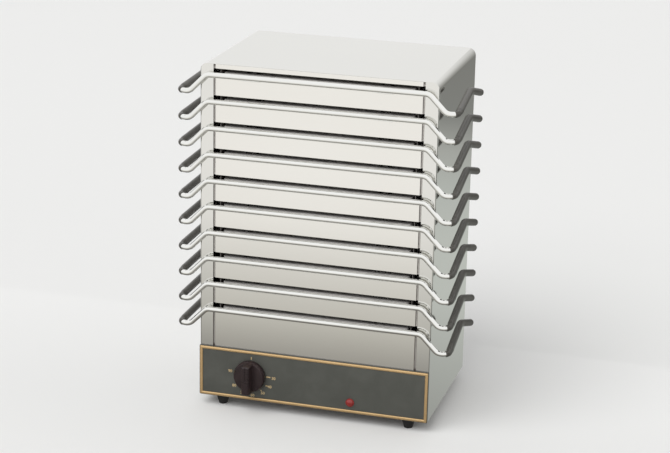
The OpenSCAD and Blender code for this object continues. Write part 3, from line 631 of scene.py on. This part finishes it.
def make_floor():
    half = FLOOR_HALF
    floor = flat_card("floor", [(-half, -half, 0), (half, -half, 0),
                                (half, half, 0), (-half, half, 0)])
    material = bpy.data.materials.new("floor_paper")
    material.use_nodes = True
    tree = material.node_tree
    shader = tree.nodes["Principled BSDF"]
    fill(shader, Roughness=0.9)
    paper = fill(add(tree, "ShaderNodeTexNoise"), Scale=3.0, Detail=2.0)
    tone = tone_mix(tree, paper.outputs["Fac"], (0.86, 0.86, 0.85), (0.90, 0.90, 0.89))
    join(tree, tone, shader.inputs["Base Color"])
    floor.data.materials.append(material)


def make_surround():
    world = bpy.data.worlds.new("surround")
    world.use_nodes = True
    bpy.context.scene.world = world
    tree = world.node_tree
    soft = tree.nodes["Background"]
    fill(soft, Color=WHITE, Strength=SURROUND_LIGHT)
    seen = fill(add(tree, "ShaderNodeBackground"), Color=WHITE, Strength=SURROUND_SEEN)
    ray = add(tree, "ShaderNodeLightPath")
    either = add(tree, "ShaderNodeMath", operation="MAXIMUM")
    any_seen = add(tree, "ShaderNodeMath", operation="MAXIMUM")
    mix = add(tree, "ShaderNodeMixShader")
    join(tree, ray.outputs["Is Camera Ray"], either.inputs[0])
    join(tree, ray.outputs["Is Glossy Ray"], either.inputs[1])
    join(tree, either.outputs["Value"], any_seen.inputs[0])
    join(tree, ray.outputs["Is Transmission Ray"], any_seen.inputs[1])
    join(tree, any_seen.outputs["Value"], mix.inputs["Fac"])
    join(tree, soft.outputs["Background"], mix.inputs[1])
    join(tree, seen.outputs["Background"], mix.inputs[2])
    join(tree, mix.outputs["Shader"], tree.nodes["World Output"].inputs["Surface"])


def make_lamp(name, direction, strength, spread):
    data = bpy.data.lights.new(name, "SUN")
    data.energy = strength
    data.angle = math.radians(spread)
    lamp = bpy.data.objects.new(name, data)
    bpy.context.scene.collection.objects.link(lamp)
    lamp.rotation_euler = Vector(direction).to_track_quat("-Z", "Y").to_euler()
    return lamp


make_floor()
make_surround()
key = make_lamp("key", KEY_DIRECTION, KEY_STRENGTH, KEY_SPREAD)
key.visible_glossy = False
print("stage: floor, surround and", key.name, "lamp")

# %% [markdown]
# A reflection card is a plain sheet with a soft ramp of greys along one axis, given as (place, tone)
# stops. Camera, shadows and diffuse light don't see it. Cards stand across the depth, stand at the ends
# or lie just over the floor.

# %% Reflection cards


def reflection_card(name, corners, axis, stops):
    card = flat_card(name, corners)
    card.visible_camera = False
    card.visible_diffuse = False
    card.visible_shadow = False
    card.visible_transmission = False
    material = bpy.data.materials.new(name)
    material.use_nodes = True
    tree = material.node_tree
    tree.nodes.remove(tree.nodes["Principled BSDF"])
    glow = add(tree, "ShaderNodeEmission")
    place = add(tree, "ShaderNodeTexCoord")
    split = add(tree, "ShaderNodeSeparateXYZ")
    first, last = stops[0][0], stops[-1][0]
    span = fill(add(tree, "ShaderNodeMapRange"), From_Min=first, From_Max=last)
    ramp = add(tree, "ShaderNodeValToRGB")
    while len(ramp.color_ramp.elements) < len(stops):
        ramp.color_ramp.elements.new(0.5)
    for element, (where, tone) in zip(ramp.color_ramp.elements, stops):
        element.position = (where - first) / (last - first)
        element.color = (*tone, 1.0)
    join(tree, place.outputs["Object"], split.inputs["Vector"])
    join(tree, split.outputs[axis], span.inputs["Value"])
    join(tree, span.outputs["Result"], ramp.inputs["Fac"])
    join(tree, ramp.outputs["Color"], glow.inputs["Color"])
    join(tree, glow.outputs["Emission"], tree.nodes["Material Output"].inputs["Surface"])
    card.data.materials.append(material)


def upright_card(name, x0, x1, y, stops):
    z0, z1 = stops[0][0], stops[-1][0]
    reflection_card(name, [(x0, y, z0), (x1, y, z0), (x1, y, z1), (x0, y, z1)], "Z", stops)


def end_card(name, x, y0, y1, stops):
    z0, z1 = stops[0][0], stops[-1][0]
    reflection_card(name, [(x, y0, z0), (x, y1, z0), (x, y1, z1), (x, y0, z1)], "Z", stops)


def floor_patch(name, x0, x1, z, stops):
    y0, y1 = stops[0][0], stops[-1][0]
    reflection_card(name, [(x0, y0, z), (x1, y0, z), (x1, y1, z), (x0, y1, z)], "Y", stops)


# %% [markdown]
# The side card and the side patch give the right side its grey, darkest near the top. The back card
# tones the top, the two end cards draw dark lines in the bends of the wire, and the front shade patch
# darkens the front towards its foot: it is a painted shadow on the floor near the case, seen only in
# reflections. It fades out under the case, and lies lower than the side patch, which covers it there.

# %% The cards
DARK = (0.05, 0.047, 0.045)
PALE = (0.9, 0.9, 0.9)
SIDE_PATCH_Z = 1.0 * MM
FRONT_SHADE_PATCH_Z = 0.5 * MM
upright_card("side_card", 0.15, 2.2, 0.75, [
    (0.0, (0.545, 0.57, 0.535)), (0.085, (0.50, 0.525, 0.495)), (0.16, (0.42, 0.43, 0.405)),
    (0.23, (0.24, 0.245, 0.23)), (0.36, (0.22, 0.22, 0.205)), (0.54, (0.46, 0.46, 0.44)),
    (0.80, (0.93, 0.93, 0.92))])
floor_patch("side_patch", 0.17, 2.2, SIDE_PATCH_Z, [
    (-0.1, (0.335, 0.345, 0.325)), (0.25, (0.47, 0.49, 0.46)), (0.45, (0.545, 0.57, 0.535)),
    (0.75, (0.545, 0.57, 0.535))])
upright_card("back_card", -3.0, 3.0, 2.6, [
    (0.8, (0.90, 0.90, 0.89)), (1.3, (0.92, 0.92, 0.91)), (2.2, (1.0, 1.0, 1.0))])
end_card("right_card", 1.2, -0.75, -0.12, [(0.0, DARK), (0.55, DARK), (0.9, PALE)])
end_card("left_card", -1.2, -0.3, 0.6, [(0.0, PALE), (0.14, DARK), (0.4, DARK), (0.8, PALE)])
floor_patch("front_shade_patch", -1.5, 1.5, FRONT_SHADE_PATCH_Z, [
    (-3.2, (0.95, 0.945, 0.92)), (-1.3, (0.93, 0.92, 0.895)), (-0.95, (0.88, 0.87, 0.84)),
    (-0.45, (0.54, 0.53, 0.49)), (-0.25, (0.27, 0.26, 0.24)), (-0.13, (0.14, 0.135, 0.125)),
    (-0.04, (0.30, 0.295, 0.285)), (0.25, (0.82, 0.82, 0.81))])
